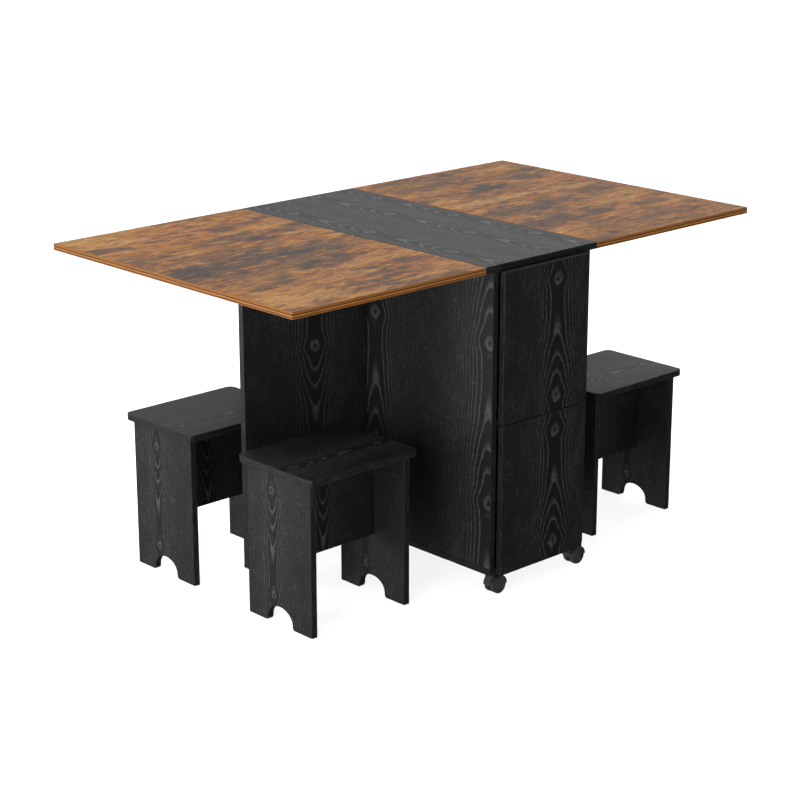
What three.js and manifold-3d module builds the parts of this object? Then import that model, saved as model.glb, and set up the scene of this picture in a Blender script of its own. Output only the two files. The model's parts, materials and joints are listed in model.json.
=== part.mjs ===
// Folding table with a storage cabinet, two swinging gates and four stools.
// Millimetres, +Z up. The origin is on the floor, under the middle of the cabinet.
// X runs from leaf to leaf. Y runs along the cabinet, from the near doors to the far doors.

import * as THREE from 'three';
import { mergeVertices } from 'three/addons/utils/BufferGeometryUtils.js';
import Module from 'manifold-3d';

const wasm = await Module();
wasm.setup();

// Table top and cabinet. The middle strip overhangs the cabinet, so that the gates fold
// flat under the hanging leaves.
const boardThickness = 15;
const tableLength = 1400;
const tableWidth = 800;
const stripOverhang = 20;
const leafGap = 2;
const cabinetWidth = 300;
const cabinetHeight = 680;
const casterHeight = 52;
const seamGap = 0.2;

// Doors: the split between the upper and lower door lies a little below the shelf's middle
const doorSideGap = 4;
const doorStandOff = 0.5;
const doorTopGap = 0.5;
const doorSplit = 2;
const splitDrop = 5;

// Gates: the top edge is relieved to pass under the leaf hinge, up to a tab at the outer end
const gateWidth = 353.5;
const gateStandOff = 2;
const gateTopGap = 0.7;
const tabLength = 30;
const tabEndInset = 6;
const tabRamp = 5;
const tabGap = 0.3;

// Continuous hinges. Each stops short of its board at both ends, by its end inset.
const leafHinge = {
  endInset: 100,
  radius: 2.5,
  plateWidth: 18,
  plateThickness: 1.2,
  pinRadius: 1.1,
  knuckles: 11,
};
const gateHinge = {
  endInset: 37.05,
  radius: 2.5,
  plateWidth: 24,
  plateThickness: 1.2,
  pinRadius: 1.1,
  knuckles: 11,
};
const doorHinge = {
  endInset: 27.5,
  radius: 1.7,
  plateWidth: 12,
  plateThickness: 0.9,
  pinRadius: 0.7,
  knuckles: 7,
};
const knuckleGap = 0.4;
const pinClearance = 0.25;
const plateGap = 0.2;

// Stools
const stoolHeight = 356;
const seatLength = 304;
const seatWidth = 238;
const seatThickness = 15;
const seatCornerRadius = 15;
const legThickness = 15;
const legWidth = 205;
const legInset = 12.5;
const archWidth = 94;
const archHeight = 41;
const footRoundWidth = 7.5;
const footRoundHeight = 11;
const apronHeight = 202;
const apronThickness = 15;
const stoolCabinetGap = 134.5;
const stoolGateGap = 71.8;

// Twin-wheel casters
const wheelRadius = 20;
const wheelPairWidth = 30;
const wheelWidth = 11.5;
const treadRound = 1.2;
const hubFaceRadius = 8;
const faceDrop = 0.8;
const axleRadius = 3;
const axleClearance = 0.35;
const trail = 16;
const webWidth = 5;
const webHubRadius = 7;
const fenderGap = 0.9;
const fenderThickness = 1.5;
const fenderWidth = 30;
const fenderStartAngle = 0;
const fenderEndAngle = 180;
const collarRadius = 11;
const collarDepth = 20;
const swivelGap = 0.4;
const stemRadius = 4;
const stemLength = 12;
const stemClearance = 0.25;
const casterSideInset = 22;
const casterEndInset = 20;
const gateCasterInset = 88;

// Facets, and the overrun of every cut
const cutOverrun = 1;
const barrelSides = 8;
const boreSides = 12;
const wheelSides = 20;
const arcSteps = 6;

// Finishes
const blackGrain = { color: 0x2a2b2d, roughness: 0.6, metalness: 0 };
const rusticBrown = { color: 0x8a5228, roughness: 0.5, metalness: 0 };
const hingeSteel = { color: 0xb4b4b2, roughness: 0.35, metalness: 1 };
const blackPlastic = { color: 0x141416, roughness: 0.45, metalness: 0 };
const wheelPlastic = { color: 0x1d1d20, roughness: 0.55, metalness: 0 };

// Levels and planes that several pieces share
const topUnderside = casterHeight + cabinetHeight;
const tableHeight = topUnderside + boardThickness;
const floorPanelTop = casterHeight + boardThickness;
const shelfMiddle = (floorPanelTop + topUnderside) / 2;
const shelfBottom = shelfMiddle - boardThickness / 2;
const shelfTop = shelfMiddle + boardThickness / 2;
const innerHalfWidth = cabinetWidth / 2 - boardThickness;
const stripWidth = cabinetWidth + 2 * stripOverhang;
const leafPivotX = stripWidth / 2 + leafGap / 2;
const leafPivotZ = topUnderside - plateGap - leafHinge.radius;
const gateTop = leafPivotZ - leafHinge.radius - gateTopGap;
const gateInner = cabinetWidth / 2 + gateStandOff;
const gateOuter = gateInner + gateWidth;
const gatePivotX = cabinetWidth / 2 + plateGap + gateHinge.radius;
const gatePivotY = boardThickness / 2 + plateGap + gateHinge.radius;
const casterX = cabinetWidth / 2 - casterSideInset;
const casterY = tableWidth / 2 - casterEndInset;
const gateCasterX = gateOuter - gateCasterInset;
const stoolX = cabinetWidth / 2 + stoolCabinetGap + seatLength / 2;
const stoolY = boardThickness / 2 + stoolGateGap + seatWidth / 2;

function solidOf(geometry) {
  const bare = geometry.clone();
  bare.deleteAttribute('normal');
  bare.deleteAttribute('uv');
  const welded = mergeVertices(bare);
  const mesh = new wasm.Mesh({
    numProp: 3,
    vertProperties: new Float32Array(welded.attributes.position.array),
    triVerts: new Uint32Array(welded.index.array),
  });
  return new wasm.Manifold(mesh);
}

function geometryOf(solid) {
  const mesh = solid.getMesh();
  const geometry = new THREE.BufferGeometry();
  geometry.setAttribute('position', new THREE.BufferAttribute(mesh.vertProperties, 3));
  geometry.setIndex(new THREE.BufferAttribute(mesh.triVerts, 1));
  geometry.computeVertexNormals();
  return geometry;
}

function join(solid, ...geometries) {
  return geometries.reduce((whole, next) => whole.add(solidOf(next)), solid);
}

function cut(solid, ...geometries) {
  return geometries.reduce((rest, next) => rest.subtract(solidOf(next)), solid);
}

function named(name, geometry, finish) {
  const mesh = new THREE.Mesh(geometry, new THREE.MeshStandardMaterial(finish));
  mesh.name = name;
  return mesh;
}

// A block between two opposite corners, each given as [x, y, z]
function block(from, to) {
  const size = to.map((value, i) => Math.abs(value - from[i]));
  const middle = to.map((value, i) => (value + from[i]) / 2);
  return new THREE.BoxGeometry(...size).translate(...middle);
}

// An upright round bar between two levels
function uprightBar(radius, low, high, sides) {
  const bar = new THREE.CylinderGeometry(radius, radius, high - low, sides);
  return bar.rotateX(Math.PI / 2).translate(0, 0, (low + high) / 2);
}

// Extrudes an outline drawn in the XZ plane along Y, centred on it
function extrudeAlongY(outline, width) {
  const options = { depth: width, bevelEnabled: false, curveSegments: arcSteps };
  const geometry = new THREE.ExtrudeGeometry(outline, options);
  return geometry.translate(0, 0, -width / 2).rotateX(Math.PI / 2);
}

// One half of a continuous hinge. Its pin lies on the local Z axis. The plate reaches
// along +X, and its mounting face looks along +Y. The fixed half holds the pin.
function hingeHalf(hinge, length, fixed) {
  const { radius, plateWidth, plateThickness, pinRadius, knuckles } = hinge;
  const pitch = length / knuckles;
  const plate = block([0, radius - plateThickness, -length / 2], [plateWidth, radius, length / 2]);
  let half = solidOf(plate);
  for (let i = 0; i < knuckles; i += 1) {
    const low = i * pitch - length / 2 + knuckleGap / 2;
    const high = low + pitch - knuckleGap;
    if ((i % 2 === 0) === fixed) {
      half = join(half, uprightBar(radius, low, high, barrelSides));
    } else {
      const room = block(
        [-cutOverrun, radius - plateThickness - cutOverrun, low - knuckleGap],
        [radius + knuckleGap, radius + cutOverrun, high + knuckleGap],
      );
      half = cut(half, room);
    }
  }
  if (fixed) {
    const reach = length / 2 - knuckleGap;
    half = join(half, uprightBar(pinRadius, -reach, reach, barrelSides));
  } else {
    half = cut(half, uprightBar(pinRadius + pinClearance, -length / 2, length / 2, boreSides));
  }
  return geometryOf(half);
}

// Both halves of a hinge on a board of a given span, opened by an angle. The fixed plate
// reaches along one direction from the pin, with its mounting face looking along another.
function hingePair(name, hinge, span, opening, along, facing, origin) {
  const pair = new THREE.Group();
  const length = span - 2 * hinge.endInset;
  const moving = hingeHalf(hinge, length, false).rotateX(Math.PI).rotateZ(-opening);
  pair.add(named(`${name}_fixed`, hingeHalf(hinge, length, true), hingeSteel));
  pair.add(named(`${name}_moving`, moving, hingeSteel));
  const x = new THREE.Vector3(...along);
  const y = new THREE.Vector3(...facing);
  const z = new THREE.Vector3().crossVectors(x, y);
  pair.applyMatrix4(new THREE.Matrix4().makeBasis(x, y, z).setPosition(...origin));
  return pair;
}

// Table top: a fixed middle strip and two leaves
function buildTop() {
  const top = new THREE.Group();
  const depth = tableWidth / 2;
  const strip = block([-stripWidth / 2, -depth, topUnderside], [stripWidth / 2, depth, tableHeight]);
  top.add(named('top_strip', strip, blackGrain));
  for (const [side, word] of [[-1, 'left'], [1, 'right']]) {
    const inner = side * (stripWidth / 2 + leafGap);
    const outer = (side * tableLength) / 2;
    const leaf = block([inner, -depth, topUnderside], [outer, depth, tableHeight]);
    top.add(named(`leaf_${word}`, leaf, rusticBrown));
    const name = `leaf_hinge_${word}`;
    const pivot = [side * leafPivotX, 0, leafPivotZ];
    top.add(hingePair(name, leafHinge, tableWidth, Math.PI, [-side, 0, 0], [0, 0, 1], pivot));
  }
  return top;
}

// A blind hole for a caster's stem, in the underside of a board
function stemHole(x, y) {
  const top = casterHeight + stemLength + stemClearance;
  const hole = uprightBar(stemRadius + stemClearance, casterHeight - cutOverrun, top, boreSides);
  return hole.translate(x, y, 0);
}

// Cabinet: floor panel, side panels, a cross panel at mid-depth and a shelf at each end
function buildCabinet() {
  const cabinet = new THREE.Group();
  const half = cabinetWidth / 2;
  const depth = tableWidth / 2;
  const floor = block([-half, -depth, casterHeight], [half, depth, floorPanelTop]);
  const holes = [-casterX, casterX].flatMap((x) => [stemHole(x, -casterY), stemHole(x, casterY)]);
  cabinet.add(named('floor_panel', geometryOf(cut(solidOf(floor), ...holes)), blackGrain));

  const low = floorPanelTop + seamGap;
  const high = topUnderside - seamGap;
  for (const [side, word] of [[-1, 'left'], [1, 'right']]) {
    const panel = block([side * innerHalfWidth, -depth, low], [side * half, depth, high]);
    cabinet.add(named(`side_panel_${word}`, panel, blackGrain));
  }

  const within = innerHalfWidth - seamGap;
  const cross = boardThickness / 2;
  const crossPanel = block([-within, -cross, low], [within, cross, high]);
  cabinet.add(named('cross_panel', crossPanel, blackGrain));
  for (const [end, word] of [[-1, 'near'], [1, 'far']]) {
    const back = end * (cross + seamGap);
    const shelf = block([-within, back, shelfBottom], [within, end * depth, shelfTop]);
    cabinet.add(named(`shelf_${word}`, shelf, blackGrain));
  }
  return cabinet;
}

// The two doors of the near end, hinged at their right. The far pair is turned half round.
function buildDoors(word, turn) {
  const doors = new THREE.Group();
  doors.rotation.z = turn;
  const edge = innerHalfWidth - doorSideGap;
  const back = -tableWidth / 2 - doorStandOff;
  const split = shelfMiddle - splitDrop;
  const pivotX = innerHalfWidth - plateGap - doorHinge.radius;
  const pivotY = back + plateGap + doorHinge.radius;
  const levels = [
    ['lower', casterHeight, split - doorSplit / 2, floorPanelTop, shelfBottom],
    ['upper', split + doorSplit / 2, topUnderside - doorTopGap, shelfTop, topUnderside],
  ];
  for (const [level, low, high, roomLow, roomHigh] of levels) {
    const door = block([-edge, back - boardThickness, low], [edge, back, high]);
    const name = `door_hinge_${word}_${level}`;
    const room = roomHigh - roomLow;
    const pivot = [pivotX, pivotY, roomLow + room / 2];
    doors.add(named(`door_${word}_${level}`, door, blackGrain));
    doors.add(hingePair(name, doorHinge, room, Math.PI / 2, [0, 1, 0], [1, 0, 0], pivot));
  }
  return doors;
}

// A gate under a leaf, open at rest, hinged on the cabinet's side
function buildGate(side, word) {
  const gate = new THREE.Group();
  const tabOuter = gateOuter - tabEndInset;
  const tabInner = tabOuter - tabLength;
  const tabTop = topUnderside - tabGap;
  const outline = new THREE.Shape();
  outline.moveTo(gateInner, casterHeight);
  outline.lineTo(gateOuter, casterHeight);
  outline.lineTo(gateOuter, gateTop);
  outline.lineTo(tabOuter, gateTop);
  outline.lineTo(tabOuter - tabRamp, tabTop);
  outline.lineTo(tabInner + tabRamp, tabTop);
  outline.lineTo(tabInner, gateTop);
  outline.lineTo(gateInner, gateTop);
  const panel = cut(solidOf(extrudeAlongY(outline, boardThickness)), stemHole(gateCasterX, 0));
  const board = named(`gate_${word}`, geometryOf(panel), blackGrain);
  board.rotation.z = side > 0 ? 0 : Math.PI;
  gate.add(board);
  const name = `gate_hinge_${word}`;
  const height = gateTop - casterHeight;
  const pivot = [side * gatePivotX, gatePivotY, casterHeight + height / 2];
  gate.add(hingePair(name, gateHinge, height, Math.PI / 2, [0, 1, 0], [-side, 0, 0], pivot));
  return gate;
}

function seatOutline() {
  const x = seatLength / 2 - seatCornerRadius;
  const y = seatWidth / 2 - seatCornerRadius;
  const quarter = Math.PI / 2;
  const outline = new THREE.Shape();
  outline.absarc(x, y, seatCornerRadius, 0, quarter, false);
  outline.absarc(-x, y, seatCornerRadius, quarter, 2 * quarter, false);
  outline.absarc(-x, -y, seatCornerRadius, 2 * quarter, 3 * quarter, false);
  outline.absarc(x, -y, seatCornerRadius, 3 * quarter, 4 * quarter, false);
  return outline;
}

// A leg's outline in width and height, with the arch at the floor and its rounded feet
function legOutline(height) {
  const half = legWidth / 2;
  const foot = archWidth / 2;
  const pillar = foot - footRoundWidth;
  const outline = new THREE.Shape();
  outline.moveTo(-half, 0);
  outline.lineTo(-foot, 0);
  outline.quadraticCurveTo(-pillar, 0, -pillar, footRoundHeight);
  outline.absellipse(0, footRoundHeight, pillar, archHeight - footRoundHeight, Math.PI, 0, true);
  outline.quadraticCurveTo(pillar, 0, foot, 0);
  outline.lineTo(half, 0);
  outline.lineTo(half, height);
  outline.lineTo(-half, height);
  return outline;
}

// Stool: a seat on two arched legs, with an apron between them
function buildStool(x, y, word) {
  const stool = new THREE.Group();
  stool.position.set(x, y, 0);
  const seatBottom = stoolHeight - seatThickness;
  const legHeight = seatBottom - seamGap;
  const legMiddle = seatLength / 2 - legInset - legThickness / 2;

  const options = { depth: seatThickness, bevelEnabled: false, curveSegments: arcSteps };
  const seat = new THREE.ExtrudeGeometry(seatOutline(), options);
  stool.add(named(`stool_${word}_seat`, seat.translate(0, 0, seatBottom), blackGrain));

  for (const [side, end] of [[-1, 'left'], [1, 'right']]) {
    const leg = extrudeAlongY(legOutline(legHeight), legThickness).rotateZ(Math.PI / 2);
    leg.translate(side * legMiddle, 0, 0);
    stool.add(named(`stool_${word}_leg_${end}`, leg, blackGrain));
  }

  const reach = legMiddle - legThickness / 2 - seamGap;
  const apron = block(
    [-reach, -apronThickness / 2, seatBottom - apronHeight],
    [reach, apronThickness / 2, legHeight],
  );
  stool.add(named(`stool_${word}_apron`, apron, blackGrain));
  return stool;
}

// Wheel pair: two nearly flat-faced wheels on one axle, turned about the local Y axis
function wheelPair() {
  const outer = wheelPairWidth / 2;
  const inner = outer - wheelWidth;
  const half = [
    [axleRadius, inner],
    [wheelRadius - treadRound, inner],
    [wheelRadius, inner + treadRound],
    [wheelRadius, outer - faceDrop - treadRound],
    [wheelRadius - treadRound, outer - faceDrop],
    [hubFaceRadius, outer],
    [0, outer],
  ];
  const otherHalf = half.map(([radius, along]) => [radius, -along]).reverse();
  const profile = [...otherHalf, ...half].map(([radius, along]) => new THREE.Vector2(radius, along));
  return new THREE.LatheGeometry(profile, wheelSides);
}

// The fan-shaped outline of a hood above the axle, closed round the axle by an arc
function fanOutline(outerRadius, innerRadius) {
  const start = THREE.MathUtils.degToRad(fenderStartAngle);
  const end = THREE.MathUtils.degToRad(fenderEndAngle);
  const outline = new THREE.Shape();
  outline.absarc(trail, wheelRadius, outerRadius, start, end, false);
  outline.absarc(trail, wheelRadius, innerRadius, end, start + 2 * Math.PI, false);
  return outline;
}

// Hood: a fender over both wheels, a web between them, and a collar with the swivel stem
function casterHood() {
  const inner = wheelRadius + fenderGap;
  const outer = inner + fenderThickness;
  const top = casterHeight - swivelGap;
  const roomWidth = fenderWidth + 2 * cutOverrun;
  const room = new THREE.CylinderGeometry(inner, inner, roomWidth, wheelSides);
  const boreRadius = axleRadius + axleClearance;
  const bore = new THREE.CylinderGeometry(boreRadius, boreRadius, roomWidth, boreSides);
  let hood = solidOf(extrudeAlongY(fanOutline(outer, webHubRadius), fenderWidth));
  hood = join(hood, uprightBar(collarRadius, top - collarDepth, top, boreSides));
  hood = cut(hood, room.translate(trail, 0, wheelRadius));
  hood = join(
    hood,
    extrudeAlongY(fanOutline(outer, webHubRadius), webWidth),
    uprightBar(stemRadius, top - swivelGap, casterHeight + stemLength, boreSides),
  );
  return geometryOf(cut(hood, bore.translate(trail, 0, wheelRadius)));
}

function buildCaster(x, y, word) {
  const caster = new THREE.Group();
  caster.position.set(x, y, 0);
  caster.add(named(`caster_${word}_hood`, casterHood(), blackPlastic));
  const wheels = named(`caster_${word}_wheels`, wheelPair(), wheelPlastic);
  wheels.position.set(trail, 0, wheelRadius);
  caster.add(wheels);
  return caster;
}

const table = new THREE.Group();
table.add(buildTop(), buildCabinet());
table.add(buildDoors('near', 0), buildDoors('far', Math.PI));
for (const [side, word] of [[-1, 'left'], [1, 'right']]) {
  table.add(buildGate(side, word), buildCaster(side * gateCasterX, 0, `gate_${word}`));
  for (const [end, endWord] of [[-1, 'near'], [1, 'far']]) {
    table.add(buildStool(side * stoolX, end * stoolY, `${endWord}_${word}`));
    table.add(buildCaster(side * casterX, end * casterY, `${endWord}_${word}`));
  }
}

export default table;
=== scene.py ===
import json
import math

import bmesh
import bpy
from mathutils import Matrix, Vector


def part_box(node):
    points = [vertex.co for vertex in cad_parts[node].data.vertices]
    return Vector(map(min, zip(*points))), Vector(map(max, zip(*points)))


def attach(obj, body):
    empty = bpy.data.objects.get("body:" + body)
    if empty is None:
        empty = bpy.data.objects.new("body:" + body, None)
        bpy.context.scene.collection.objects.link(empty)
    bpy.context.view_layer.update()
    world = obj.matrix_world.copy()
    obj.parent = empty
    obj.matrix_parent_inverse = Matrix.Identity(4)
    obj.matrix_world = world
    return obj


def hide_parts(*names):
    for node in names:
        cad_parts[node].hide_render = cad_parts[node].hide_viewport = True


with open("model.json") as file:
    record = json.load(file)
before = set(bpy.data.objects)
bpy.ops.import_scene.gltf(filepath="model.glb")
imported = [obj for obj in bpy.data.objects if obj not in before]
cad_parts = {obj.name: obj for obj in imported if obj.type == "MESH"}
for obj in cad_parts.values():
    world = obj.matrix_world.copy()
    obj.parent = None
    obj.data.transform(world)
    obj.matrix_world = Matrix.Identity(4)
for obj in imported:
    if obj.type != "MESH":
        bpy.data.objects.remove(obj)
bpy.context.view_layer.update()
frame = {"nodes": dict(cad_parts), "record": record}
bodyOfNode = {}
for body, members in frame["record"]["behaviour"]["bodies"].items():
    for node in members:
        bodyOfNode[node] = body
print("frame loaded:", len(frame["nodes"]), "nodes")

scene = bpy.context.scene
scene.view_settings.view_transform = "Standard"

# the camera, as solved from the photograph's edges
cameraFacts = {
    "place": (-3.20036, -3.36097, 1.77903),
    "elevation": 17.321,  # degrees, looking down
    "azimuth": -43.221,
    "lens": 94.39,
    "sensor": 36.0,
    "farthest": 120.0,
}
camera = bpy.data.objects.new("camera", bpy.data.cameras.new("camera"))
scene.collection.objects.link(camera)
camera.data.lens = cameraFacts["lens"]
camera.data.sensor_width = cameraFacts["sensor"]
camera.data.clip_end = cameraFacts["farthest"]
camera.location = cameraFacts["place"]
camera.rotation_euler = (
    math.radians(90 - cameraFacts["elevation"]), 0, math.radians(cameraFacts["azimuth"]))
scene.camera = camera
print("camera placed")


class NodeDesk:
    # keeps one node tree at hand
    def __init__(self, tree):
        self.nodes = tree.nodes
        self.links = tree.links

    def add(self, kind, **settings):
        node = self.nodes.new("ShaderNode" + kind)
        for key, value in settings.items():
            setattr(node, key, value)
        return node

    def feed(self, socket, value):
        if isinstance(value, bpy.types.NodeSocket):
            self.links.new(value, socket)
        else:
            socket.default_value = value

    def math(self, operation, *values):
        node = self.add("Math", operation=operation)
        for socket, value in zip(node.inputs, values):
            self.feed(socket, value)
        return node.outputs[0]

    def plus(self, *values):
        total = values[0]
        for value in values[1:]:
            total = self.math("ADD", total, value)
        return total

    def times(self, *values):
        total = values[0]
        for value in values[1:]:
            total = self.math("MULTIPLY", total, value)
        return total

    def minus(self, first, second):
        return self.math("SUBTRACT", first, second)

    def most(self, first, second):
        return self.math("MAXIMUM", first, second)

    def place(self, x, y, z=0.0):
        node = self.add("CombineXYZ")
        for socket, value in zip(node.inputs, (x, y, z)):
            self.feed(socket, value)
        return node.outputs[0]

    def noise(self, u, v, w=0.0, detail=2.0, roughness=0.5):
        node = self.add("TexNoise")
        self.feed(node.inputs["Vector"], self.place(u, v, w))
        node.inputs["Scale"].default_value = 1.0
        node.inputs["Detail"].default_value = detail
        node.inputs["Roughness"].default_value = roughness
        return node.outputs[0]

    def grain(self, u, v, pace, shift, detail=2.0, roughness=0.5):
        # noise with a pace of its own along u and along v, in turns per metre
        return self.noise(self.times(u, pace[0]), self.times(v, pace[1]), shift, detail, roughness)

    def spread(self, value, low, high, newLow=0.0, newHigh=1.0, smooth=True):
        node = self.add("MapRange", interpolation_type="SMOOTHSTEP" if smooth else "LINEAR")
        for socket, entry in zip(node.inputs, (value, low, high, newLow, newHigh)):
            self.feed(socket, entry)
        return node.outputs[0]

    def mix(self, share, first, second):
        node = self.add("Mix", data_type="RGBA")
        self.feed(node.inputs[0], share)
        self.feed(node.inputs[6], first)
        self.feed(node.inputs[7], second)
        return node.outputs[2]

    def ramp(self, value, stops, interpolation="LINEAR"):
        node = self.add("ValToRGB")
        self.feed(node.inputs[0], value)
        elements = node.color_ramp.elements
        node.color_ramp.interpolation = interpolation
        while len(elements) < len(stops):
            elements.new(1.0)
        for element, (position, colour) in zip(elements, stops):
            element.position = position
            element.color = colour if len(colour) == 4 else (*colour, 1.0)
        return node.outputs[0]

    def axes(self, space):
        split = self.add("SeparateXYZ")
        self.links.new(self.add("TexCoord").outputs[space], split.inputs[0])
        return split.outputs


class PaintDesk(NodeDesk):
    # the node tree of one new material
    def __init__(self, name):
        self.material = bpy.data.materials.new(name)
        self.material.use_nodes = True
        super().__init__(self.material.node_tree)
        self.shader = self.nodes["Principled BSDF"]

    def bump(self, height, distance):
        node = self.add("Bump")
        node.inputs["Distance"].default_value = distance
        self.feed(node.inputs["Height"], height)
        self.links.new(node.outputs[0], self.shader.inputs["Normal"])

    def finish(self, colour, roughness, height, depth, specular, metallic=0.0):
        self.feed(self.shader.inputs["Base Color"], colour)
        self.feed(self.shader.inputs["Roughness"], roughness)
        self.shader.inputs["Specular IOR Level"].default_value = specular
        self.shader.inputs["Metallic"].default_value = metallic
        self.bump(height, depth)
        return self.material


# black grain: an ash print in grey on black. Lengths in metres; the pace of each noise is in
# turns per metre, across and along the grain
blackGrain = {
    "black": (0.0070, 0.0071, 0.0075),
    "vein": (0.082, 0.083, 0.087),
    "archFlat": 0.040,  # how blunt an arch's tip is
    "lineStep": 0.0075,  # from line to line, away from the column
    "lineRise": (0.62, 0.96),  # a line brightens slowly and ends sharply, in shares of a step
    "lineFall": (0.972, 1.0),
    "nearReach": (0.036, 0.070),  # the arches fade between these distances
    "coreReach": (0.020, 0.044),  # the print has few dashes nearer to the column than this
    "farStep": 0.0092,
    "farRise": (0.35, 0.9),
    "farFall": (0.9, 1.0),
    "farReach": (0.05, 0.15),
    "farStrength": (0.07, 0.27),
    "swayPace": (4.0, 11.0),
    "wander": 0.0096,
    "fibrePace": (480.0, 22.0),
    "feather": 0.009,
    "knotRoom": (0.021, 0.028),  # no arch comes nearer to a knot than this
    "knotNarrow": 1.2,
    "knotRing": (0.0045, 0.0080, 0.0112, 0.0180),  # dark core, bright ring from and to, rim
    "knotShade": (0.85, 0.55),  # how bright the ring is on its two sides
    "knotSide": 0.012,
    "raggedPace": (95.0, 70.0),
    "knotRagged": 0.028,
    "specklePace": (330.0, 130.0),
    "farSwayPace": (7.0, 7.0),
    "farSway": 1.6,  # in steps from line to line
    "ripplePace": (300.0, 16.0),
    "ripple": 0.7,
    "dashPace": (620.0, 105.0),
    "dashStrength": 0.36,
    "patchPace": (26.0, 12.0),
    "streakPace": (380.0, 24.0),
    "porePace": (1100.0, 260.0),
    "poreStrength": 0.14,
    "roughBlack": 0.52,
    "roughVein": 0.42,
    "specular": 0.25,
    "bumpDepth": 0.00006,
}
# one repeat along the grain: a share of the period, and how many lines lie inside that place.
# The count falls by three from knot to knot, so the lines close up
lineCount = [
    (0.0, 3.35), (0.05, 2.90), (0.10, 2.45), (0.19, 2.0), (0.26, 1.5), (0.337, 1.0), (0.43, 0.5),
    (0.53, 0.0), (0.57, -0.05), (0.62, -0.15), (0.69, -0.30), (0.80, -0.42), (0.92, -0.25), (1.0, 0.35),
]
lineCountSpan = (-0.42, 3.35)


def sized(key, scale):
    # lengths of the black grain at the scale of one print
    return [length * scale for length in blackGrain[key]]


def archLines(desk, across, along, column, scale, period, upwards, lift):
    # the arches and knots of one column: how bright they are, and how far its axis is
    facts = blackGrain
    centre, knot = column
    u = desk.minus(across, centre)
    v = desk.minus(along, knot)
    if not upwards:
        v = desk.times(v, -1.0)
    sway = desk.grain(u, v, facts["swayPace"], lift + centre * 40)
    u = desk.plus(u, desk.times(desk.minus(sway, 0.5), facts["wander"]))
    fibre = desk.grain(u, v, facts["fibrePace"], lift + 2)
    v = desk.plus(v, desk.times(desk.minus(fibre, 0.5), facts["feather"]))
    phase = desk.math("FRACT", desk.math("DIVIDE", v, period))
    low, high = lineCountSpan
    stops = [(share, ((count - low) / (high - low),) * 3) for share, count in lineCount]
    count = desk.plus(desk.times(desk.ramp(phase, stops, "CARDINAL"), high - low), low)
    flat = facts["archFlat"] * scale
    away = desk.minus(desk.math("SQRT", desk.plus(desk.times(u, u), flat * flat)), flat)
    step = desk.math("FRACT", desk.minus(count, desk.math("DIVIDE", away, facts["lineStep"] * scale)))
    line = desk.times(
        desk.spread(step, *facts["lineRise"]), desk.spread(step, *facts["lineFall"], 1.0, 0.0))
    # the knot: a ragged ring round a dark core
    knotPlace = desk.times(desk.minus(desk.math("FRACT", desk.plus(phase, 0.5)), 0.5), period)
    narrow = desk.times(u, facts["knotNarrow"])
    knotFar = desk.math("SQRT", desk.plus(desk.times(knotPlace, knotPlace), desk.times(narrow, narrow)))
    room = desk.spread(knotFar, *sized("knotRoom", scale))
    pace = [turns / scale for turns in facts["raggedPace"]]
    ragged = desk.grain(u, v, pace, lift + 5, 3.0, 0.6)
    rough = desk.plus(knotFar, desk.times(desk.minus(ragged, 0.5), facts["knotRagged"] * scale))
    core, inside, outside, rim = sized("knotRing", scale)
    ring = desk.times(desk.spread(rough, core, inside), desk.spread(rough, outside, rim, 1.0, 0.0))
    reach = facts["knotSide"] * scale
    ring = desk.times(ring, desk.spread(knotPlace, -reach, reach, *facts["knotShade"]))
    speckle = desk.spread(desk.grain(u, v, facts["specklePace"], lift + 7), 0.36, 0.60, 0.45, 1.0)
    side = desk.math("ABSOLUTE", u)
    line = desk.times(line, speckle, room, desk.spread(side, *sized("nearReach", scale), 1.0, 0.0))
    return desk.most(line, ring), side


def blackGrainMask(desk, across, along, columns, period, scale, upwards, lift):
    # how bright the print is; columns are (place across, place of a knot along)
    facts = blackGrain
    arches, near, core, clear = 0.0, 0.0, 0.0, 1.0
    for column in columns:
        line, side = archLines(desk, across, along, column, scale, period, upwards, lift)
        arches = desk.most(arches, line)
        near = desk.most(near, desk.spread(side, *sized("farReach", scale), 1.0, 0.0))
        core = desk.most(core, desk.spread(side, *sized("coreReach", scale), 1.0, 0.0))
        clear = desk.times(clear, desk.spread(side, *sized("nearReach", scale)))
    # straight lines between the columns
    sway = desk.grain(across, along, facts["farSwayPace"], lift + 9)
    ripple = desk.grain(across, along, facts["ripplePace"], lift + 13, 1.0)
    run = desk.math("DIVIDE", across, facts["farStep"] * scale)
    run = desk.plus(run, desk.times(sway, facts["farSway"]), desk.times(ripple, facts["ripple"]))
    step = desk.math("FRACT", run)
    far = desk.times(
        desk.spread(step, *facts["farRise"]), desk.spread(step, *facts["farFall"], 1.0, 0.0))
    far = desk.times(far, clear, desk.spread(near, 0.0, 1.0, *facts["farStrength"], False))
    # short dashes in patches, longer streaks, and pores that break up the lines
    dash = desk.grain(across, along, facts["dashPace"], lift + 17, 2.0, 0.55)
    patch = desk.grain(across, along, facts["patchPace"], lift + 21, 3.0)
    streak = desk.grain(across, along, facts["streakPace"], lift + 23)
    dashes = desk.plus(desk.spread(dash, 0.50, 0.72), desk.times(desk.spread(streak, 0.52, 0.74), 0.7))
    dashes = desk.times(dashes, desk.spread(patch, 0.36, 0.62, 0.30, 1.0), facts["dashStrength"])
    dashes = desk.times(dashes, desk.spread(core, 0.0, 1.0, 1.0, 0.12, False))
    pore = desk.grain(across, along, facts["porePace"], lift + 25, 2.0, 0.6)
    arches = desk.times(
        arches, desk.spread(dash, 0.32, 0.60, 0.50, 1.0), desk.spread(pore, 0.30, 0.60, 0.72, 1.0))
    far = desk.times(far, desk.spread(dash, 0.36, 0.60, 0.25, 1.0))
    pores = desk.times(desk.spread(pore, 0.45, 0.75), facts["poreStrength"])
    return desk.math("MINIMUM", desk.plus(arches, far, dashes, pores), 1.0)


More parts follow.
